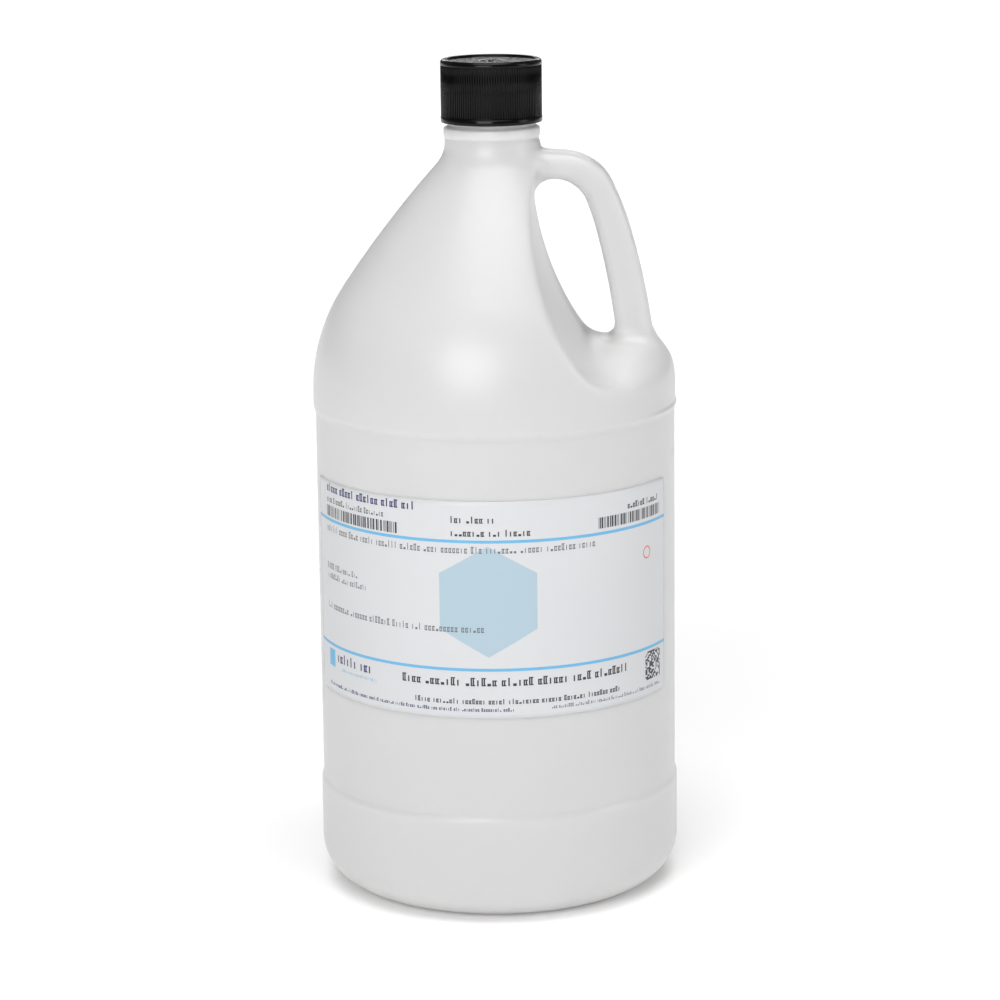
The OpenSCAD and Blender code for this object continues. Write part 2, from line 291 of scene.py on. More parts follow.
def shoulderCurve():
    b = bottleSize
    turn = math.radians(b["shoulderTurn"])
    r, u, f = b["shoulderRadius"], b["upperRadius"], b["neckFillet"]
    drop = b["neckRadius"] - bodyRadius + r * (1 - math.cos(turn)) + u * math.cos(turn) + f
    steep = math.acos(drop / (u + f))
    start = (bodyRadius - r * (1 - math.cos(turn)), b["shoulderStart"] + r * math.sin(turn))
    centre = (start[0] - u * math.cos(turn), start[1] - u * math.sin(turn))
    end = (centre[0] + u * math.cos(steep), centre[1] + u * math.sin(steep))
    return dict(start=start, centre=centre, end=end, neck=end[1] + f * math.sin(steep))


curve = shoulderCurve()
neckStart = curve["neck"]


def shoulderRadiusAt(z):
    b = bottleSize
    side = lambda radius, rise: np.sqrt(np.maximum(radius ** 2 - rise ** 2, 0.0))
    lower = bodyRadius - b["shoulderRadius"] + side(b["shoulderRadius"], z - b["shoulderStart"])
    upper = curve["centre"][0] + side(b["upperRadius"], z - curve["centre"][1])
    fillet = b["neckRadius"] + b["neckFillet"] - side(b["neckFillet"], neckStart - z)
    zones = [z < b["shoulderStart"], z < curve["start"][1], z < curve["end"][1], z < neckStart]
    return np.select(zones, [bodyRadius, lower, upper, fillet], b["neckRadius"])


def recessWallAt(z):
    s = recessSize
    slope = math.radians(s["topSlope"])
    radius = s["wallRadius"]
    centre = (s["narrow"] + radius * math.cos(slope), s["topHeight"] + radius * math.sin(slope))
    wall = centre[0] - np.sqrt(np.maximum(radius ** 2 - (z - centre[1]) ** 2, 0.0))
    high = np.maximum(z - s["topHeight"], 0.0)
    return wall + high * high / s["flare"]


def bodyField(x, y, z):
    # signed distance, near enough, to the blown body without its handle
    s = recessSize
    step = 0.05
    r = np.hypot(x, y)
    slope = (shoulderRadiusAt(z + step) - shoulderRadiusAt(z - step)) / (2 * step)
    skin = (r - shoulderRadiusAt(z)) / np.sqrt(1 + slope * slope)
    lean = (recessWallAt(z + step) - recessWallAt(z - step)) / (2 * step)
    across = np.hypot(x + s["crown"], y) - s["crown"]
    wall = (across - recessWallAt(z)) / np.sqrt(1 + lean * lean)
    edge = np.maximum(s["ledgeEdge"] - y * y / (2 * s["ledgeFall"]), s["ledgeThin"])
    qr = r - (bodyRadius - edge)
    qz = z - (s["ledge"] - s["ledgeEdge"])
    outside = np.hypot(np.maximum(qr, 0), np.maximum(qz, 0))
    ledge = outside + np.minimum(np.maximum(qr, qz), 0) - edge
    return blendMax(skin, blendMin(wall, ledge, s["wallToLedge"]), s["lip"])


def handlePath():
    # middle line of the grip in its own plane: level bar, bend, long bowed grip
    h = handleSize
    place = np.array([h["barStart"], h["barHeight"]])
    heading = -h["droop"]
    line, thick = [place.copy()], [h["barThick"]]

    def run(length, turn, endThick):
        nonlocal place, heading
        steps = max(2, int(length / h["runStep"]))
        startThick = thick[-1]
        for k in range(steps):
            heading -= turn / steps / 2
            a = math.radians(heading)
            place = place + length / steps * np.array([math.cos(a), math.sin(a)])
            heading -= turn / steps / 2
            line.append(place.copy())
            thick.append(startThick + (endThick - startThick) * (k + 1) / steps)

    for length, turn, endThick in h["runs"]:
        run(length, turn, endThick)
    run((place[1] - h["foot"]) / math.cos(math.radians(90 + heading)), 0.0, thick[-1])
    return np.array(line), np.array(thick)


gripLine, gripThick = handlePath()


def handleField(x, y, z):
    h = handleSize
    near = (x > 0) & (np.abs(y) < h["nearHalf"]) & (z > h["foot"] - h["nearBelow"])
    field = np.full(np.shape(x), h["farAway"])      # far from the handle only the sign counts
    field[near] = gripField(x[near], y[near], z[near])
    return field


def gripField(x, y, z):
    h = handleSize
    best = np.full(np.shape(x), 1e9)
    for k in range(len(gripLine) - 1):
        a, b = gripLine[k], gripLine[k + 1]
        d = b - a
        t = np.clip(((x - a[0]) * d[0] + (z - a[1]) * d[1]) / (d @ d), 0, 1)
        away = np.hypot(x - a[0] - t * d[0], z - a[1] - t * d[1])
        best = np.minimum(best, away - (gripThick[k] * (1 - t) + gripThick[k + 1] * t) / 2)
    qx = best + h["corner"]
    qy = np.abs(y) - h["width"] / 2 + h["corner"]
    outside = np.hypot(np.maximum(qx, 0), np.maximum(qy, 0))
    return outside + np.minimum(np.maximum(qx, qy), 0) - h["corner"]


def bottleField(x, y, z):
    h = handleSize
    top = np.clip((z - h["topFrom"]) / h["topOver"], 0, 1)
    low = np.clip((h["footFrom"] - z) / h["footOver"], 0, 1)
    soft = h["rootSoft"] + (h["topSoft"] - h["rootSoft"]) * top
    soft = soft + (h["footSoft"] - h["rootSoft"]) * low
    return blendMin(bodyField(x, y, z), handleField(x, y, z), soft)


def fieldNormal(field, p, step=0.05):
    g = np.empty_like(p)
    for axis in range(3):
        d = np.zeros(3)
        d[axis] = step
        g[:, axis] = field(*(p + d).T) - field(*(p - d).T)
    return g / np.maximum(np.linalg.norm(g, axis=1), 1e-9)[:, None]


def settle(field, p, rounds=4):
    for _ in range(rounds):
        p = p - 0.9 * field(*p.T)[:, None] * fieldNormal(field, p)
    return p


def traceMeridians(angles):
    # walks every column up the body at once, then spaces its rows evenly
    b = bottleSize
    c, s = np.cos(angles), np.sin(angles)
    field = lambda r, z: bodyField(r * c, r * s, z)
    r = np.full(len(angles), bodyRadius)
    z = np.full(len(angles), b["upperBandBottom"] + 1.0)
    stride, e = 0.6, 0.05
    track = [np.stack([r, z])]
    for _ in range(600):
        gr = field(r + e, z) - field(r - e, z)
        gz = field(r, z + e) - field(r, z - e)
        size = np.maximum(np.hypot(gr, gz), 1e-9)
        moving = z < neckStart + 0.2
        r = np.where(moving, r - stride * gz / size, r)
        z = np.where(moving, z + stride * gr / size, z)
        miss = field(r, z)
        r = np.where(moving, r - miss * gr / size, r)
        z = np.where(moving, z - miss * gz / size, z)
        track.append(np.stack([r, z]))
        if not moving.any():
            break
    track = np.array(track)
    rows = np.empty((b["shoulderRows"], len(angles), 2))
    for i in range(len(angles)):
        path = track[:, :, i]
        length = np.concatenate([[0], np.cumsum(np.hypot(*np.diff(path, axis=0).T))])
        keep = np.concatenate([[True], np.diff(length) > 1e-6])
        share = np.linspace(0, length[-1], b["shoulderRows"])
        rows[:, i, 0] = np.interp(share, length[keep], path[keep, 0])
        rows[:, i, 1] = np.interp(share, length[keep], path[keep, 1])
    return rows


def zipLoops(points, a, b):
    # triangles between two loops that run the same way round
    shift = int(np.argmin(np.linalg.norm(points[b] - points[a[0]], axis=1)))
    b = b[shift:] + b[:shift]
    part = lambda loop: np.concatenate([[0], np.cumsum(np.linalg.norm(
        np.diff(points[loop + loop[:1]], axis=0), axis=1))])
    sa, sb = part(a), part(b)
    sa, sb = sa / sa[-1], sb / sb[-1]
    faces, i, j = [], 0, 0
    while i < len(a) or j < len(b):
        va, vb = a[i % len(a)], b[j % len(b)]
        if j >= len(b) or (i < len(a) and sa[i + 1] <= sb[j + 1]):
            faces.append((va, a[(i + 1) % len(a)], vb))
            i += 1
        else:
            faces.append((va, b[(j + 1) % len(b)], vb))
            j += 1
    return faces


def gripRing(centre, heading, thick):
    # a rounded rectangle across the path, its points evenly spaced
    h = handleSize
    halfW, halfT = h["width"] / 2, thick / 2
    c = min(h["corner"], halfT - 0.2)
    outline = []
    for sx, sy, start in ((1, 1, 0), (-1, 1, 90), (-1, -1, 180), (1, -1, 270)):
        outline += arcPoints((sx * (halfT - c), sy * (halfW - c)), c, start, start + 90, 10)
    outline = np.array(outline + outline[:1])
    length = np.concatenate([[0], np.cumsum(np.hypot(*np.diff(outline, axis=0).T))])
    share = np.linspace(0, length[-1], h["ringPoints"], endpoint=False)
    across = np.interp(share, length, outline[:, 0])
    wide = np.interp(share, length, outline[:, 1])
    outward = np.array([-heading[1], heading[0]])
    x, z = (centre[k] + across * outward[k] for k in (0, 1))
    return np.stack([x, wide, z], axis=1)


def handleRings():
    steps = np.concatenate([[0], np.cumsum(np.hypot(*np.diff(gripLine, axis=0).T))])
    sample = np.arange(0, steps[-1], handleSize["ringStep"])
    rings = []
    at = lambda s: np.array([np.interp(s, steps, gripLine[:, k]) for k in (0, 1)])
    look = handleSize["ringLook"]
    for s in sample:
        along = at(s + look) - at(s - look)
        ring = gripRing(at(s), along / np.linalg.norm(along), np.interp(s, steps, gripThick))
        if bodyField(*ring.T).min() > handleSize["ringClear"]:
            rings.append(ring)
    return rings


def lowerProfile():
    b = bottleSize
    panel = bodyRadius - b["panelRecess"]
    ringIn = b["ringInner"]
    profile = [(0, b["pushUp"])]
    profile += [(r, b["pushUp"] - b["pushUpSag"] * (r / (ringIn - b["ringSlope"])) ** 2)
                for r in (6, 14, 22, 30, 37, 41)]
    profile += [(ringIn + out, z) for out, z in       # from the pushed-up middle down to the ring
                ((-4.0, 4.3), (-2.8, 3.6), (-1.4, 1.5), (-0.4, 0.35), (0.8, 0.0), (4, 0.0))]
    corner = b["baseCorner"]
    profile += arcPoints((bodyRadius - corner, corner), corner, -90, 0, 16)
    profile += [(bodyRadius, z) for z in (22, 27, 32, 37)]
    profile += softStep(b["lowerBandTop"], b["bandStep"], bodyRadius, panel)
    top = b["upperBandBottom"] - b["bandStep"]
    profile += [(panel, z) for z in np.linspace(b["lowerBandTop"] + 6, top - 4, 16)]
    profile += softStep(top, b["bandStep"], panel, bodyRadius)
    return profile


def softStep(z, height, first, last):
    # an eased step between two radii, which starts and ends a little past its height
    past = 0.6
    steps = np.linspace(0, 1, 7)
    ease = steps * steps * (3 - 2 * steps)
    return [(first + (last - first) * e, z - past + (height + 2 * past) * s)
            for s, e in zip(steps, ease)]


def finishProfile():
    # bead, thread zone and sealing land, climbing from the plain neck
    b = bottleSize
    neck, proud = b["neckRadius"], b["beadProud"]
    bead = neckStart + b["beadStart"]
    top = bead + b["beadHeight"]
    root = b["threadRadius"] - b["threadDepth"]
    rows = [(neck, bead - 0.9), (neck - 0.12, bead - 0.35)]
    rows += [(neck + proud * math.sin(a) ** b["beadFullness"],
              bead + b["beadHeight"] * (1 - math.cos(a)) / 2)
             for a in np.radians(np.linspace(8, 172, 12))]
    rows += [(neck - 0.3, top + 0.15), (root + 0.35, top + 0.5), (root, top + 0.9)]
    rows += [(root, z) for z in np.linspace(top + 1.3, landHeight - 1.3, b["threadRows"])]
    outer, inner = b["landEdge"], b["mouthEdge"]
    rows += arcPoints((root - outer, landHeight - outer), outer, 0, 90, 5)
    rows += arcPoints((b["mouthRadius"] + inner, landHeight - inner), inner, 90, 180, 5)
    return rows


def ridgeHeight(angles, z, start, turns, depth, base, crest):
    # height of a screw ridge at each angle of one row, fading at both ends
    pitch = bottleSize["threadPitch"]
    best = np.zeros_like(angles)
    for k in range(int(turns) + 2):
        turned = angles / (2 * math.pi) + k
        away = np.abs(z - (start + pitch * turned))
        left = np.minimum(turned, turns - turned)
        fade = np.clip(left / bottleSize["threadFade"] + 0.15, 0, 1) * (turned <= turns)
        side = np.clip((base / 2 - away) / ((base - crest) / 2), 0, 1)
        best = np.maximum(best, depth * fade * side * side * (3 - 2 * side))
    return best


def neckThread(angles, r, z):
    b = bottleSize
    root = b["threadRadius"] - b["threadDepth"]
    if abs(r - root) > 1e-6 or z > landHeight - 1:
        return np.full(len(angles), r)
    start = landHeight - b["threadTop"] - b["threadTurns"] * b["threadPitch"]
    return r + ridgeHeight(angles, z, start, b["threadTurns"], b["threadDepth"],
                           b["threadBase"], b["threadCrest"])


def cutHole(grid, columns, chosen):
    # the grid's quads in a rectangle round one end of the handle, and the loop round them
    rows = [j for j, _ in chosen]
    spans = [i if i < columns // 2 else i - columns for _, i in chosen]
    j0, j1, i0, i1 = min(rows), max(rows) + 1, min(spans), max(spans) + 1
    quads = {(j, i % columns) for j in range(j0, j1) for i in range(i0, i1)}
    at = lambda j, i: grid[j][i % columns]
    loop = [at(j0, i) for i in range(i0, i1)] + [at(j, i1) for j in range(j0, j1)]
    loop += [at(j1, i) for i in range(i1, i0, -1)] + [at(j, i0) for j in range(j1, j0, -1)]
    return quads, loop


def buildBottle():
    b = bottleSize
    columns = b["columns"]
    angles = np.linspace(0, 2 * math.pi, columns, endpoint=False)
    lower = lowerProfile()
    points, faces = lathe(lower, columns)
    points = [tuple(p) for p in points]
    lowerTop = len(points) - columns
    traced = traceMeridians(angles)
    grid = [list(range(lowerTop, lowerTop + columns))]
    for j in range(len(traced)):
        grid.append(list(range(len(points), len(points) + columns)))
        points += [(r * math.cos(a), r * math.sin(a), z) for (r, z), a in zip(traced[j], angles)]
    points = np.array(points, float)

    near = []
    for j in range(len(grid) - 1):
        middle = (points[grid[j]] + points[grid[j + 1]]) / 2
        close = handleField(*middle.T) < handleSize["holeMargin"]
        near += [(j, i) for i in np.nonzero(close)[0]]
    high = {q: points[grid[q[0]][q[1]]][2] > handleSize["holeSplit"] for q in near}
    rootHole, rootLoop = cutHole(grid, columns, [q for q in near if high[q]])
    footHole, footLoop = cutHole(grid, columns, [q for q in near if not high[q]])
    for j in range(len(grid) - 1):
        for i in range(columns):
            if (j, i) not in rootHole and (j, i) not in footHole:
                n = (i + 1) % columns
                faces.append((grid[j][i], grid[j][n], grid[j + 1][n], grid[j + 1][i]))

    rings = handleRings()
    first = len(points)
    count = handleSize["ringPoints"]
    points = np.vstack([points] + rings)
    loops = [list(range(first + k * count, first + (k + 1) * count)) for k in range(len(rings))]
    tube = []
    for a, c in zip(loops, loops[1:]):
        tube += [(a[i], c[i], c[(i + 1) % count], a[(i + 1) % count]) for i in range(count)]
    joints = joinLoop(points, rootLoop, loops[0]) + joinLoop(points, footLoop, loops[-1])
    faces += turnedOut(points, tube, handleField) + turnedOut(points, joints, bottleField)
    points = relax(points, faces, lowerTop + columns, first)
    return points, faces, grid, lower


def joinLoop(points, hole, ring):
    # the ring runs whichever way round suits the hole
    forward = zipLoops(points, hole, ring)
    backward = zipLoops(points, hole, ring[::-1])
    spread = lambda tris: sum(np.linalg.norm(points[t[0]] - points[t[2]]) for t in tris)
    return forward if spread(forward) < spread(backward) else backward


def turnedOut(points, faces, field):
    # each face turned to look out of the field's solid
    corners = np.array([face[:3] for face in faces])
    a, b, c = (points[corners[:, k]] for k in range(3))
    normal = np.cross(b - a, c - a)
    normal /= np.maximum(np.linalg.norm(normal, axis=1), 1e-9)[:, None]
    middle = (a + b + c) / 3
    grows = field(*(middle + 0.3 * normal).T) > field(*(middle - 0.3 * normal).T)
    return [face if out else face[::-1] for face, out in zip(faces, grows)]


def relax(points, faces, low, first):
    # evens out the mesh round the two ends of the handle, then sets it on the blended surface
    pairs = {tuple(sorted((f[i - 1], f[i]))) for f in faces for i in range(len(f))}
    edges = np.array(sorted(pairs))
    count = np.zeros(len(points))
    for side in (0, 1):
        np.add.at(count, edges[:, side], 1)
    free = np.arange(len(points)) >= low
    body = np.abs(bodyField(*points.T))
    grip = np.abs(handleField(*points.T))
    h = handleSize
    inReach = (h["relaxReach"] - np.maximum(body, grip)) / h["relaxOver"]
    weight = np.where(free, np.clip(inReach, 0, 1), 0)
    points[free] = settle(bottleField, points[free])
    for _ in range(h["relaxRounds"]):
        total = np.zeros_like(points)
        np.add.at(total, edges[:, 0], points[edges[:, 1]])
        np.add.at(total, edges[:, 1], points[edges[:, 0]])
        mean = total / np.maximum(count, 1)[:, None]
        moving = weight > 0
        pull = mean[moving] - points[moving]
        points[moving] += h["relaxShare"] * weight[moving, None] * pull
        points[moving] = settle(bottleField, points[moving], 1)
    points[free] = settle(bottleField, points[free], 3)
    return points


def meshNormals(points, faces):
    normals = np.zeros_like(points)
    for size in (3, 4):
        group = np.array([f for f in faces if len(f) == size])
        if len(group) == 0:
            continue
        a, b = points[group[:, 0]], points[group[:, 1]]
        c, d = points[group[:, 2]], points[group[:, -1]]
        face = np.cross(c - a, d - b) if size == 4 else np.cross(b - a, c - a)
        for k in range(size):
            np.add.at(normals, group[:, k], face)
    return normals / np.maximum(np.linalg.norm(normals, axis=1), 1e-12)[:, None]


def makeBottle(material):
    b = bottleSize
    columns = b["columns"]
    skin, skinFaces, grid, lower = buildBottle()
    inner = skin - b["wall"] * meshNormals(skin, skinFaces)
    points, faces = [skin, inner], list(skinFaces)
    faces += [tuple(v + len(skin) for v in f[::-1]) for f in skinFaces]

    finishRows = finishProfile()
    ring, ringFaces = lathe(finishRows, columns, neckThread)
    start = 2 * len(skin)
    points.append(np.array(ring))
    faces += [tuple(v + start for v in f) for f in ringFaces]
    top = grid[-1]
    faces += [(top[i], top[(i + 1) % columns], start + (i + 1) % columns, start + i)
              for i in range(columns)]

    bore, innerNeck = b["mouthRadius"], b["neckRadius"] - b["wall"]
    throatTop = neckStart + b["throatDrop"]
    throat = [(bore, z) for z in np.linspace(landHeight - 2, throatTop, 14)]
    throat += [(bore + (innerNeck - bore) * (1 - math.cos(a)) / 2,
                throatTop - b["throatRun"] * a / math.pi) for a in np.linspace(0.5, math.pi, 6)]
    rows, rowFaces = lathe(throat, columns)
    begin = start + len(ring)
    points.append(np.array(rows))
    faces += [tuple(v + begin for v in f) for f in rowFaces]
    land = start + len(ring) - columns
    last = begin + len(rows) - columns
    for i in range(columns):
        n = (i + 1) % columns
        faces.append((land + i, land + n, begin + n, begin + i))
        faces.append((last + i, last + n, top[n] + len(skin), top[i] + len(skin)))
    piece = makePiece("bottle_body", np.vstack(points), faces, [material])
    print("bottle:", sum(len(p.vertices) - 2 for p in piece.data.polygons), "triangles")
    return piece


labelSize = dict(
    turn=-4.0, wrap=144.0, lift=0.02, thick=0.13, corner=2.2, inkLift=0.012,
    columns=150, rows=44, inkStep=1.6,
)
labelRadius = bodyRadius - bottleSize["panelRecess"]
labelWide = math.radians(labelSize["wrap"]) * labelRadius
labelTall = labelHigh.z - labelLow.z


def onLabel(u, v, height):
    # u along the label and v up it, in millimetres, to a point on the bottle
    angle = math.radians(-90 + labelSize["turn"] - labelSize["wrap"] / 2) + u / labelRadius
    r = labelRadius + height
    return (r * math.cos(angle), r * math.sin(angle), labelLow.z + v)


def makeLabel(material):
    s = labelSize
    us = np.linspace(0, labelWide, s["columns"])
    vs = np.linspace(0, labelTall, s["rows"])
    points, faces = [], []
    for height in (s["lift"] + s["thick"], s["lift"]):
        for v in vs:
            for u in us:
                du = max(s["corner"] - min(u, labelWide - u), 0)
                dv = max(s["corner"] - min(v, labelTall - v), 0)
                far = math.hypot(du, dv)
                pull = (far - s["corner"]) / far if far > s["corner"] else 0
                uu = u + math.copysign(du * pull, labelWide / 2 - u)
                vv = v + math.copysign(dv * pull, labelTall / 2 - v)
                points.append(onLabel(uu, vv, height))
    nu, nv = len(us), len(vs)
    back = nu * nv
    for j in range(nv - 1):
        for i in range(nu - 1):
            a = j * nu + i
            faces.append((a, a + 1, a + nu + 1, a + nu))
            faces.append((back + a, back + a + nu, back + a + nu + 1, back + a + 1))
    edge = [j * nu for j in range(nv)]
    rim = list(range(nu)) + [j * nu + nu - 1 for j in range(1, nv)]
    rim += [(nv - 1) * nu + i for i in range(nu - 2, -1, -1)] + edge[-2:0:-1]
    for a, c in zip(rim, rim[1:] + rim[:1]):
        faces.append((a, back + a, back + c, c))
    return makePiece("label_sheet", points, faces, [material])


class Print:
    # collects flat shapes that follow the label, one list for each ink
    def __init__(self):
        self.points, self.faces, self.inks = [], [], []

    def shape(self, corners, inkIndex, layer=0):
        height = labelSize["lift"] + labelSize["thick"] + labelSize["inkLift"] * (1 + layer)
        first = len(self.points)
        self.points += [onLabel(u, v, height) for u, v in corners]
        self.faces.append(tuple(range(first, first + len(corners))))
        self.inks.append(inkIndex)

    def bar(self, u0, v0, u1, v1, inkIndex, layer=0):
        pieces = max(1, math.ceil((u1 - u0) / labelSize["inkStep"]))
        cuts = np.linspace(u0, u1, pieces + 1)
        for a, c in zip(cuts, cuts[1:]):
            self.shape([(a, v0), (c, v0), (c, v1), (a, v1)], inkIndex, layer)


navy, black, sky, pale, red, grey = range(6)

labelLayout = dict(
    rules=[(71.3, 72.5), (19.4, 20.6)],
    lines=[  # left, foot, right, size, ink, bold
        (11.5, 83.6, 71.0, 3.5, navy, True), (11.5, 79.2, 52.5, 2.5, black, False),
        (80.0, 79.3, 99.3, 2.9, black, True), (80.0, 74.0, 112.3, 2.9, black, True),
        (156.3, 79.8, 178.6, 2.6, black, True), (10.6, 67.2, 140.5, 2.9, grey, False),
        (10.6, 51.6, 36.0, 2.5, grey, False), (10.6, 47.6, 41.0, 2.5, grey, False),
        (10.6, 35.2, 96.5, 2.9, grey, False), (58.5, 13.4, 157.7, 3.6, black, True),
        (64.0, 6.0, 152.0, 2.3, black, True), (10.8, 3.0, 105.6, 1.5, navy, True),
        (119.8, 3.2, 180.3, 1.5, navy, False),
    ],
    barcodes=[(10.8, 73.3, 57.4, 77.8), (141.0, 73.9, 179.6, 78.4)],
    emblem=(94.8, 47.6, 22.5), ring=(168.6, 59.8, 2.6), ringWide=0.45,
    block=(10.6, 10.9, 16.4, 18.0),
    blockLines=[(18.6, 13.6, 48.5, 4.2, navy, True), (22.0, 10.6, 46.0, 1.3, sky, False)],
    check=(167.4, 6.6, 179.2, 18.4, 16),
)

inkColours = [      # in the order of the numbers above
    ("inkNavy", (0.015, 0.015, 0.10, 1), (0.03, 0.03, 0.16, 1)),
    ("inkBlack", (0.02, 0.02, 0.03, 1), (0.05, 0.05, 0.06, 1)),
    ("inkSky", (0.12, 0.40, 0.66, 1), (0.16, 0.46, 0.72, 1)),
    ("inkPale", (0.38, 0.50, 0.575, 1), (0.41, 0.53, 0.605, 1)),
    ("inkRed", (0.62, 0.05, 0.03, 1), (0.72, 0.09, 0.06, 1)),
    ("inkGrey", (0.10, 0.10, 0.12, 1), (0.16, 0.16, 0.18, 1)),
]

# strokes of the blank letters: left, foot, right, top as shares of the letter
blankBox = [(0, 0, 0.3, 1), (0.7, 0, 1, 1), (0, 0.8, 1, 1), (0, 0, 1, 0.2)]
blankTall = [(0, 0, 0.3, 1.4), (0.7, 0, 1, 1.4), (0, 1.2, 1, 1.4), (0, 0, 1, 0.2)]
blankTick, blankTallTick = [(0.35, 0, 0.65, 1)], [(0.35, 0, 0.65, 1.4)]
blankBlock = [(0.1, 0, 0.9, 0.45)]
blankLetters = [blankBox, blankBox, blankBox, blankTall,
                blankTick, blankTick, blankTallTick, blankBlock]


def greekLine(ink, left, foot, right, size, inkIndex, bold, dice):
    # a line of print stands as blank boxes and ticks in word-length groups
    pen = left
    tall = size * 0.68
    pitch = size * (0.60 if bold else 0.54)
    wide = pitch * (0.84 if bold else 0.76)
    while pen < right - 2 * pitch:
        for _ in range(dice.choice((3, 4, 5, 6, 7, 8, 9))):
            if pen > right - pitch:
                break
            slim = wide * (0.34 if bold else 0.27)
            for u0, v0, u1, v1 in dice.choice(blankLetters):
                start, end = pen + u0 * wide, pen + u1 * wide
                if u1 - u0 <= 0.35:         # a stem keeps one width
                    start = pen + u0 * (wide - slim)
                    end = start + slim
                ink.bar(start, foot + v0 * tall, end, foot + v1 * tall, inkIndex)
            pen += pitch
        pen += pitch * 0.7


def makePrint(materials):
    dice = random.Random(7)
    ink = Print()
    layout = labelLayout
    for low, high in layout["rules"]:
        ink.bar(0.3, low, labelWide - 0.3, high, sky)
    hexagon(ink, *layout["emblem"], pale)
    for line in layout["lines"] + layout["blockLines"]:
        greekLine(ink, *line, dice)
    for u0, v0, u1, v1 in layout["barcodes"]:
        pen = u0
        while pen < u1 - 0.9:
            wide = dice.choice((0.28, 0.28, 0.56, 0.84))
            ink.bar(pen, v0, pen + wide, v1, black)
            pen += wide + dice.choice((0.28, 0.28, 0.56, 0.84))
    u, v, r = layout["ring"]
    for k in range(32):
        a, c = (2 * math.pi * n / 32 for n in (k, k + 1))
        inside = r - layout["ringWide"]
        ink.shape([(u + q * math.cos(t), v + q * math.sin(t))
                   for q, t in ((inside, a), (r, a), (r, c), (inside, c))], red)
    ink.bar(*layout["block"], sky)
    u0, v0, u1, v1, cells = layout["check"]
    cell = (u1 - u0) / cells
    for j in range(cells):
        for i in range(cells):
            if dice.random() < 0.5:
                u, v = u0 + i * cell, v0 + j * cell
                ink.bar(u, v, u0 + (i + 1) * cell, v0 + (j + 1) * cell, black)
    piece = makePiece("label_print", ink.points, ink.faces, materials, smooth=False)
    piece.data.polygons.foreach_set("material_index", ink.inks)
    return piece


def hexagon(ink, u, v, radius, inkIndex):
    # a plain hexagon, in narrow strips so that it follows the curve, just under the other inks
    strips = 40
    width = radius * math.sqrt(3)
    high = lambda x: radius - abs(x - u) / math.sqrt(3)
    for k in range(strips):
        a, c = (u - width / 2 + width * n / strips for n in (k, k + 1))
        ink.shape([(a, v - high(a)), (c, v - high(c)), (c, v + high(c)), (a, v + high(a))],
                  inkIndex, -0.4)


capSize = dict(
    band=2.3, topBand=2.4, rim=1.6, foot=0.35, crownIn=0.05,
    ribs=120, ribDepth=0.35, ribInset=0.15, ribWide=0.56,
    disc=17.85, sink=0.9, ring=4.7, ringSink=0.3, gate=1.1, gateRise=0.2,
    threadDepth=1.1, threadTurns=2.0, threadBase=1.6, threadCrest=0.8, bore=19.05,
    linerGap=0.1, corner=0.5, columns=180, threadRows=62,
)
capRadius = (capHigh.x - capLow.x) / 2
capRoof = backingHigh.z + capSize["linerGap"]


def capProfile():
    s = capSize
    z0, z1 = capLow.z, capHigh.z
    valley = capRadius - s["ribInset"] - s["ribDepth"]
    crown = capRadius - s["crownIn"]
    low, high, foot = z0 + s["band"], z1 - s["topBand"], s["foot"]
    rows = arcPoints((capRadius - foot, z0 + foot), foot, -90, 0, 5)
    rows += [(capRadius, low - 0.3), (capRadius - 0.12, low - 0.05), (valley, low + 0.05)]
    rows += [(valley, z) for z in np.linspace(low + 0.6, high - 0.6, 12)]
    rows += [(valley, high - 0.05), (crown - 0.1, high + 0.05), (crown, high + 0.25)]
    rows += arcPoints((crown - s["rim"], z1 - s["rim"]), s["rim"], 0, 90, 10)
    d, g, floor = s["disc"], s["ring"], z1 - s["sink"]
    deep, gateTop = floor - s["ringSink"], floor + s["gateRise"]
    rows += [(d + 0.45, z1), (d + 0.15, z1 - 0.04), (d, z1 - 0.2), (d - 0.12, floor + 0.2)]
    rows += [(d - 0.25, floor + 0.05)] + [(r, floor) for r in (d - 0.5, 15, 12, 9, 6.5)]
    rows += [(g + 0.2, floor), (g, floor - 0.04), (g - 0.25, deep + 0.03), (g - 0.5, deep)]
    rows += [(2.4, deep)]
    rows += [(s["gate"] + 0.25, deep), (s["gate"], deep + 0.1), (s["gate"] - 0.1, gateTop - 0.1)]
    rows += [(s["gate"] - 0.3, gateTop), (0, gateTop)]
    return rows


def capInside():
    # climbs down the wall as the outline does, so its faces look inward
    s = capSize
    z0, bore, corner = capLow.z, s["bore"], s["corner"]
    rows = [(0, capRoof), (6, capRoof), (12, capRoof), (17, capRoof)]
    rows += arcPoints((bore - corner, capRoof - corner), corner, 90, 0, 5)
    rows += [(bore, z) for z in np.linspace(capRoof - 1.2, z0 + 1.4, s["threadRows"])]
    rows += arcPoints((bore + corner, z0 + corner), corner, 180, 270, 5)
    return rows


def capThread(angles, r, z):
    s, b = capSize, bottleSize
    if abs(r - s["bore"]) > 1e-6 or z > capRoof - 1:
        return np.full(len(angles), r)
    start = landHeight - b["threadTop"] - (b["threadTurns"] + 0.5) * b["threadPitch"]
    return r - ridgeHeight(angles, z, start, s["threadTurns"], s["threadDepth"],
                           s["threadBase"], s["threadCrest"])


def makeCap(material):
    columns = capSize["columns"]
    outer, outerFaces = lathe(capProfile(), columns)
    inner, innerFaces = lathe(capInside(), columns, capThread)
    shift = len(outer)
    faces = outerFaces + [tuple(v + shift for v in f) for f in innerFaces]
    last = shift + len(inner) - columns
    faces += [(last + i, last + (i + 1) % columns, (i + 1) % columns, i) for i in range(columns)]
    return makePiece("cap_shell", outer + inner, faces, [material])


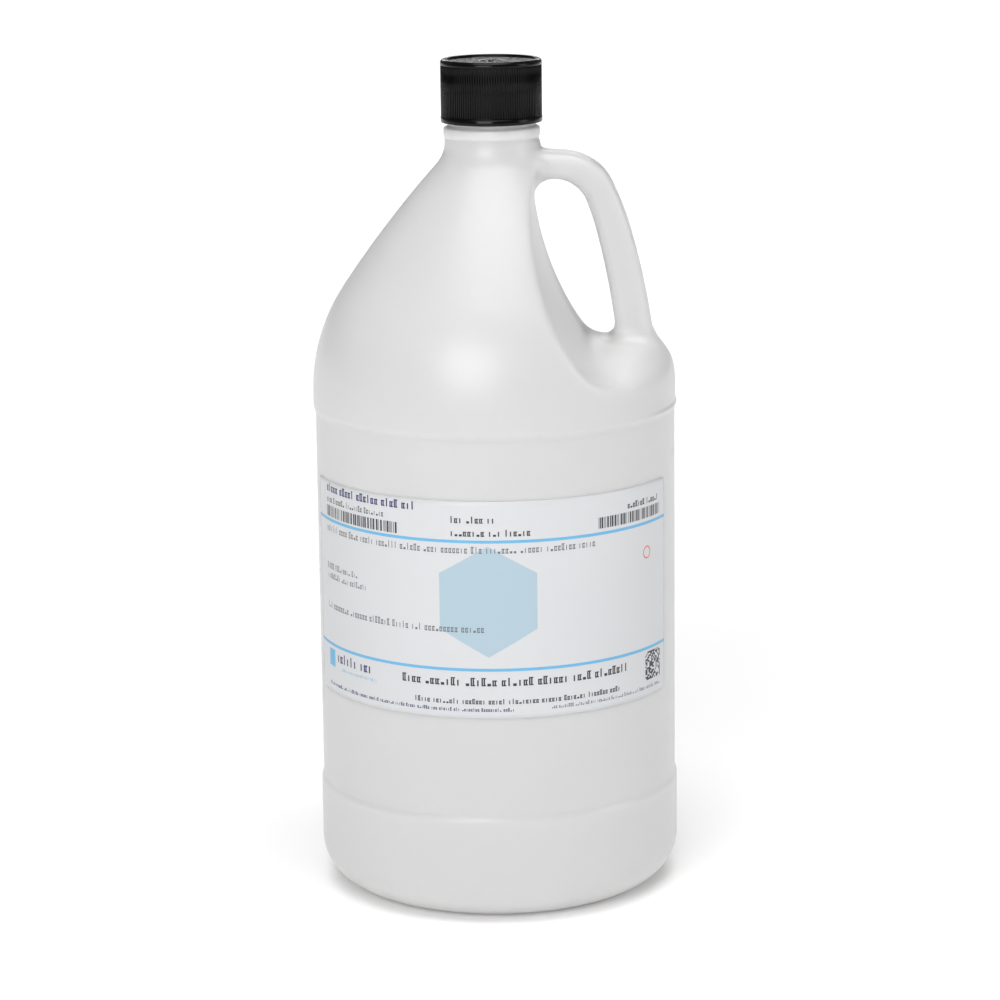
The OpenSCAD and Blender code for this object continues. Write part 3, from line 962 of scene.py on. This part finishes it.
def ribTemplate():
    # one rib at angle 0, rounded on its crest
    s = capSize
    valley = capRadius - s["ribInset"] - s["ribDepth"]
    low, high = capLow.z + s["band"], capHigh.z - s["topBand"]
    half, deep, root = s["ribWide"] / 2, s["ribDepth"], -0.06
    section = [(root, -half), (deep * 0.55, -half * 0.8), (deep, -half * 0.35),
               (deep, half * 0.35), (deep * 0.55, half * 0.8), (root, half)]
    points, faces = [], []
    for z in (low - 0.05, high + 0.05):
        points += [(valley + d, w, z) for d, w in section]
    n = len(section)
    for i in range(n - 1):
        faces.append((i, i + 1, n + i + 1, n + i))
    faces += [tuple(range(n - 1, -1, -1)), tuple(range(n, 2 * n)), (n - 1, 0, n, 2 * n - 1)]
    return makePiece("rib", points, faces, [])


def ribTree():
    tree = bpy.data.node_groups.new("capRibs", "GeometryNodeTree")
    face = tree.interface
    face.new_socket("Geometry", in_out="INPUT", socket_type="NodeSocketGeometry")
    ribs = face.new_socket("Ribs", in_out="INPUT", socket_type="NodeSocketInt")
    rib = face.new_socket("Rib", in_out="INPUT", socket_type="NodeSocketObject")
    skin = face.new_socket("Finish", in_out="INPUT", socket_type="NodeSocketMaterial")
    face.new_socket("Geometry", in_out="OUTPUT", socket_type="NodeSocketGeometry")
    nodes, links = tree.nodes, tree.links
    enter, leave = nodes.new("NodeGroupInput"), nodes.new("NodeGroupOutput")
    line = nodes.new("GeometryNodeMeshLine")
    line.inputs["Offset"].default_value = (0, 0, 0)
    links.new(enter.outputs["Ribs"], line.inputs["Count"])
    info = nodes.new("GeometryNodeObjectInfo")
    links.new(enter.outputs["Rib"], info.inputs["Object"])
    index = nodes.new("GeometryNodeInputIndex")
    share = nodes.new("ShaderNodeMath")
    share.operation = "DIVIDE"
    links.new(index.outputs[0], share.inputs[0])
    links.new(enter.outputs["Ribs"], share.inputs[1])
    turn = nodes.new("ShaderNodeMath")
    turn.operation = "MULTIPLY"
    turn.inputs[1].default_value = 2 * math.pi
    links.new(share.outputs[0], turn.inputs[0])
    axis = nodes.new("ShaderNodeCombineXYZ")
    links.new(turn.outputs[0], axis.inputs["Z"])
    copies = nodes.new("GeometryNodeInstanceOnPoints")
    links.new(line.outputs["Mesh"], copies.inputs["Points"])
    links.new(info.outputs["Geometry"], copies.inputs["Instance"])
    links.new(axis.outputs[0], copies.inputs["Rotation"])
    real = nodes.new("GeometryNodeRealizeInstances")
    links.new(copies.outputs[0], real.inputs[0])
    paint = nodes.new("GeometryNodeSetMaterial")
    links.new(real.outputs[0], paint.inputs["Geometry"])
    links.new(enter.outputs["Finish"], paint.inputs["Material"])
    links.new(paint.outputs[0], leave.inputs[0])
    return tree, ribs.identifier, rib.identifier, skin.identifier


def makeRibs(material):
    tree, ribsId, ribId, skinId = ribTree()
    template = ribTemplate()
    holder = makePiece("ribs", [], [], [])
    modifier = holder.modifiers.new("ribs", "NODES")
    modifier.node_group = tree
    modifier[ribsId] = capSize["ribs"]
    modifier[ribId] = template
    modifier[skinId] = material
    bpy.context.view_layer.update()
    graph = bpy.context.evaluated_depsgraph_get()
    mesh = bpy.data.meshes.new_from_object(holder.evaluated_get(graph))
    for used in (holder, template):
        bpy.data.objects.remove(used)
    mesh.name = "cap_ribs"
    piece = bpy.data.objects.new("cap_ribs", mesh)
    bpy.context.scene.collection.objects.link(piece)
    return piece


linerSize = dict(edge=0.12, emboss=0.05, markFrom=15.4, markSlope=0.3, columns=128)


def makeDisc(name, low, high, material, marked):
    s = linerSize
    radius = (high.x - low.x) / 2
    z0, z1, e = low.z, high.z, s["edge"]
    rows = [(0, z0)] + [(r, z0) for r in (5, 10, 14)]
    if marked:      # where the sealing land has pressed into the film
        land = bottleSize["threadRadius"] - bottleSize["threadDepth"] - bottleSize["landEdge"]
        first, slope, sunk = s["markFrom"], s["markSlope"], z0 + s["emboss"]
        rows += [(first, z0), (first + slope, sunk), (land, sunk), (land + slope, z0)]
    rows += arcPoints((radius - e, z0 + e), e, -90, 0, 5)
    rows += arcPoints((radius - e, z1 - e), e, 0, 90, 5)
    rows += [(r, z1) for r in (14, 10, 5)] + [(0, z1)]
    points, faces = lathe(rows, s["columns"])
    return makePiece(name, points, faces, [material])


cameraPlace = dict(
    azimuth=1.0, distance=1.3991, height=0.4691,
    yaw=0.0011, pitch=0.2185, roll=-0.0121, lens=125.36, sensor=36.0,
)


def makeCamera():
    s = cameraPlace
    yaw, pitch, roll = s["yaw"], s["pitch"], s["roll"]
    ahead = Vector((math.sin(yaw) * math.cos(pitch), math.cos(yaw) * math.cos(pitch),
                    -math.sin(pitch)))
    level = Vector((math.cos(yaw), -math.sin(yaw), 0))
    up = level.cross(ahead)
    right = level * math.cos(roll) + up * math.sin(roll)
    up = up * math.cos(roll) - level * math.sin(roll)
    turn = Matrix.Rotation(math.radians(s["azimuth"]), 3, "Z")
    axes = Matrix((turn @ right, turn @ up, turn @ -ahead)).transposed()
    data = bpy.data.cameras.new("camera")
    data.lens, data.sensor_width = s["lens"], s["sensor"]
    camera = bpy.data.objects.new("camera", data)
    place = turn @ Vector((0, -s["distance"], s["height"]))
    camera.matrix_world = Matrix.Translation(place) @ axes.to_4x4()
    bpy.context.scene.collection.objects.link(camera)
    bpy.context.scene.camera = camera


studioSize = dict(
    world=0.16, floorPaint=0.90, floorReach=14.0, floorDrop=0.1, target=(0, 0, 0.17),
    # painted light: the floor glows, and this is the glow's share at a distance in metres, near and
    # far, fainter round the bottle as a painted shade
    floorGlow=0.28, glowNear=(0.25, 0.3), glowFar=(1.3, 1.0),
    sun=2.25, sunSoft=50.0, sunLean=6.0,
    boxes=[dict(name="front", place=(-0.30, -1.1, 0.64), size=(0.7, 0.6), power=7.2),
           dict(name="side", place=(1.5, -0.3, 0.70), size=(0.6, 0.9), power=4.0),
           dict(name="rear", place=(0.0, 3.0, 1.10), size=(1.6, 0.3), power=7.0)],
)


def makeLamp(name, kind, place, target, energy):
    data = bpy.data.lights.new(name, kind)
    data.energy = energy
    lamp = bpy.data.objects.new(name, data)
    lamp.location = place
    lamp.rotation_euler = (Vector(target) - Vector(place)).to_track_quat("-Z", "Y").to_euler()
    bpy.context.scene.collection.objects.link(lamp)
    return data


def makeStudio():
    s = studioSize
    world = bpy.data.worlds.new("studio")
    bpy.context.scene.world = world
    world.use_nodes = True
    sky = world.node_tree.nodes["Background"]
    sky.inputs["Color"].default_value = (1, 1, 1, 1)
    sky.inputs["Strength"].default_value = s["world"]
    paint, reach = s["floorPaint"], s["floorReach"] / mm
    finish = Finish("floorPaper", Base_Color=(paint, paint, paint, 1), Roughness=0.9,
                    Specular_IOR_Level=0.1, Emission_Strength=s["floorGlow"])
    # painted light: the floor's glow grows with distance from the bottle, so the floor round the
    # bottle is darker, a painted shade
    away = finish.node("VectorMath", out="Value", settings={"operation": "LENGTH"},
                       i0=finish.place())
    finish.set(Emission_Color=finish.mix(finish.ramp(away, s["glowNear"], s["glowFar"]),
                                         (0, 0, 0, 1), (1, 1, 1, 1)))
    corners = [(x * reach, y * reach, -s["floorDrop"])
               for x, y in ((-1, -1), (1, -1), (1, 1), (-1, 1))]
    floor = makePiece("floor", corners, [(0, 1, 2, 3)], [finish.material], smooth=False)
    x, y, z = s["target"]
    above = (x, y - math.tan(math.radians(s["sunLean"])), z + 1)
    sun = makeLamp("overhead", "SUN", above, s["target"], s["sun"])
    sun.angle = math.radians(s["sunSoft"])
    for box in s["boxes"]:
        softbox = makeLamp(box["name"], "AREA", box["place"], s["target"], box["power"])
        softbox.shape = "RECTANGLE"
        softbox.size, softbox.size_y = box["size"]
    bpy.context.scene.view_settings.view_transform = "Standard"


makeCamera()
makeStudio()
print("stage ready")

bottle = makeBottle(bottlePlastic())
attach(bottle, "bottle")
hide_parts("bottle")

sheet = makeLabel(labelStock())
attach(sheet, "bottle")
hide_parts("label")
printed = makePrint([ink(*colours) for colours in inkColours])
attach(printed, "bottle")
print("label ready")

capFinish = capPlastic()
shell = makeCap(capFinish)
ribs = makeRibs(capFinish)
for piece in (shell, ribs):
    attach(piece, "cap")
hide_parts("cap")
print("cap ready")

backing = makeDisc("liner_foam_disc", backingLow, backingHigh, foam(), False)
facing = makeDisc("liner_film_disc", facingLow, facingHigh, film(), True)
for piece, node, slot in ((backing, "liner_backing", "liner_foam"),
                          (facing, "liner_facing", "liner_film")):
    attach(piece, "liner")
    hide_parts(node)
print("liner ready")
